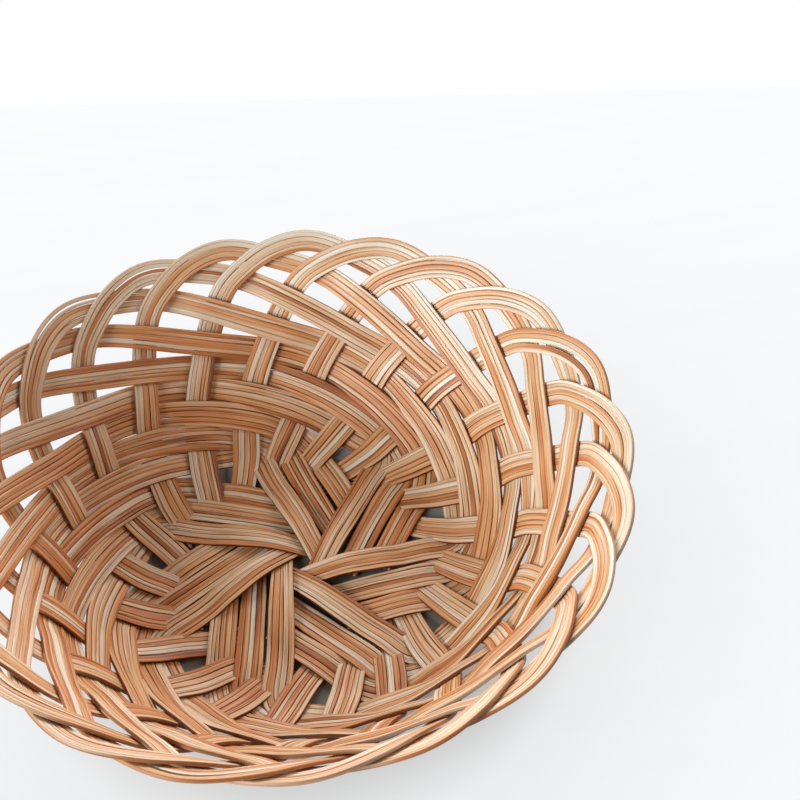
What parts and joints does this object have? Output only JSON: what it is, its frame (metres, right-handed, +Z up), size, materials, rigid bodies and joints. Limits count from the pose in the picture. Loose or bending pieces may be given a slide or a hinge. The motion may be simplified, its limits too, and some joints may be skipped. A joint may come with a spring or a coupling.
{
  "type": "woven cane basket",
  "caption": "Shallow round bowl-shaped basket of interlaced flat cane strands, open at the top, with a looped rim and a spiral base, for bread, fruit or small things.",
  "frame": {"origin": "on the basket's axis, in the plane that its underside rests on", "axes": "+Z up along the basket's axis, +Y away from the side nearest the camera in the picture, +X to the right"},
  "size_m": [0.2523, 0.2527, 0.0725],
  "materials": {
    "cane": "satin"
  },
  "bodies": {
    "root": {"strand_1_1": "cane", "strand_1_2": "cane", "strand_1_3": "cane", "strand_2_1": "cane", "strand_2_2": "cane", "strand_2_3": "cane", "strand_3_1": "cane", "strand_3_2": "cane", "strand_3_3": "cane", "strand_4_1": "cane", "strand_4_2": "cane", "strand_4_3": "cane", "strand_5_1": "cane", "strand_5_2": "cane", "strand_5_3": "cane", "strand_6_1": "cane", "strand_6_2": "cane", "strand_6_3": "cane", "strand_7_1": "cane", "strand_7_2": "cane", "strand_7_3": "cane"}
  },
  "joints": []
}
